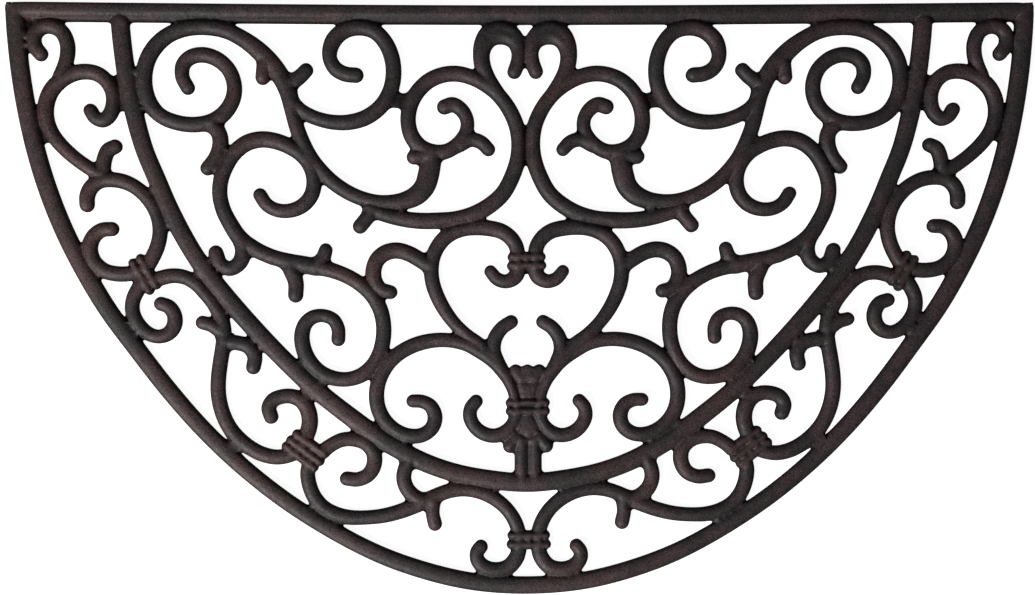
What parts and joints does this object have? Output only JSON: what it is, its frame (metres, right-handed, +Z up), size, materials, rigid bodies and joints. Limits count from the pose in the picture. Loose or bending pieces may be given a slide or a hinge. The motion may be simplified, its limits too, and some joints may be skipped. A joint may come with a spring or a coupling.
{
  "type": "half-round rubber mat",
  "caption": "Half-round doormat moulded in one piece of rubber, with an openwork of mirrored scrolls inside a straight edge and a double arc border.",
  "frame": {"origin": "on the floor, under the middle of the mat", "axes": "+X along the straight edge, +Y from the arc towards the straight edge, +Z up"},
  "size_m": [0.7014, 0.4004, 0.009],
  "materials": {
    "rubber": "matte, slightly mottled charcoal"
  },
  "bodies": {
    "root": {"mat": "rubber"}
  },
  "joints": []
}
